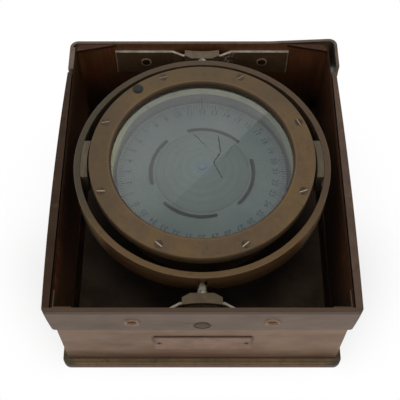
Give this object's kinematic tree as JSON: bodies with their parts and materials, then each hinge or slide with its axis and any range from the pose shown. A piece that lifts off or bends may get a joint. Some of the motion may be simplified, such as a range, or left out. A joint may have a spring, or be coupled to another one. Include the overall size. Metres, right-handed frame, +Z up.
{
  "type": "marine compass",
  "caption": "Liquid-filled compass bowl with a glass top and a floating card, hung in a gimbal ring inside an open, low rectangular metal case on a base board.",
  "frame": {"origin": "middle of the base board's underside, midway under the crossing of the gimbal axes", "axes": "+Z up, along the card's axis at rest; -Y towards the front with the nameplate; +X to the right seen from the front"},
  "size_m": [0.221, 0.25, 0.1103],
  "materials": {
    "case_metal": "dark brown patina, rubbed pink on the front",
    "case_inside": "dark red-brown lacquer",
    "copper": "copper, dull",
    "bracket_grey": "grey, worn",
    "gimbal_brass": "dark brown patina, dull",
    "bright_pins": "bright, worn",
    "bowl_grey": "grey, matt",
    "clear_glass": "clear",
    "seal_rubber": "matt",
    "plug_dark": "dark grey, satin",
    "lubber_black": "black, matt",
    "inner_brass": "satin",
    "ballast_metal": "dull",
    "card_paint": "grey, matt, light marks",
    "float_paint": "grey, satin"
  },
  "bodies": {
    "case": {"base_board": "case_metal", "floor_panel": "case_inside", "floor_beads": "case_inside", "front_wall": "case_metal", "rear_wall": "case_inside", "left_wall": "case_inside", "right_wall": "case_inside", "left_band": "case_metal", "right_band": "case_metal", "rear_band": "case_metal", "rim_webs": "case_metal", "corner_angles": "case_metal", "front_bracket": "bracket_grey", "rear_bracket": "bracket_grey", "front_bearing_block": "gimbal_brass", "rear_bearing_block": "gimbal_brass", "front_pivot_screw": "bright_pins", "rear_pivot_screw": "bright_pins", "bracket_rivets": "copper", "rivet_washers": "case_metal", "nameplate": "case_metal", "nameplate_pins": "copper"},
    "ring": {"gimbal_ring": "gimbal_brass", "left_bearing_pad": "gimbal_brass", "right_bearing_pad": "gimbal_brass"},
    "bowl": {"bowl_shell": "bowl_grey", "bowl_flange": "gimbal_brass", "chamber_ring": "bowl_grey", "left_boss": "bowl_grey", "right_boss": "bowl_grey", "left_trunnion": "bright_pins", "right_trunnion": "bright_pins", "glass_gasket": "seal_rubber", "cover_glass": "clear_glass", "bezel_ring": "gimbal_brass", "bezel_screws": "gimbal_brass", "filler_plug": "plug_dark", "filler_washer": "seal_rubber", "lubber_point": "lubber_black", "pivot_post": "inner_brass", "post_nut": "inner_brass", "pivot_needle": "bright_pins", "diaphragm": "copper", "diaphragm_cover": "inner_brass", "cover_screws": "bright_pins", "ballast_ring": "ballast_metal"},
    "card": {"compass_card": "card_paint", "float_dome": "float_paint", "float_pan": "float_paint", "card_magnets": "ballast_metal", "jewel_cup": "inner_brass", "card_cap": "inner_brass"}
  },
  "joints": [
    {"name": "ring_tilt", "type": "hinge", "parent": "case", "child": "ring", "pos_m": [0, 0, 0.091], "axis": [0, 1, 0], "range_deg": [-40, 40]},
    {"name": "bowl_tilt", "type": "hinge", "parent": "ring", "child": "bowl", "pos_m": [0, 0, 0.091], "axis": [1, 0, 0], "range_deg": [-40, 40]},
    {"name": "card_turn", "type": "hinge", "parent": "bowl", "child": "card", "pos_m": [0, 0, 0.091], "axis": [0, 0, 1], "continuous": true}
  ]
}
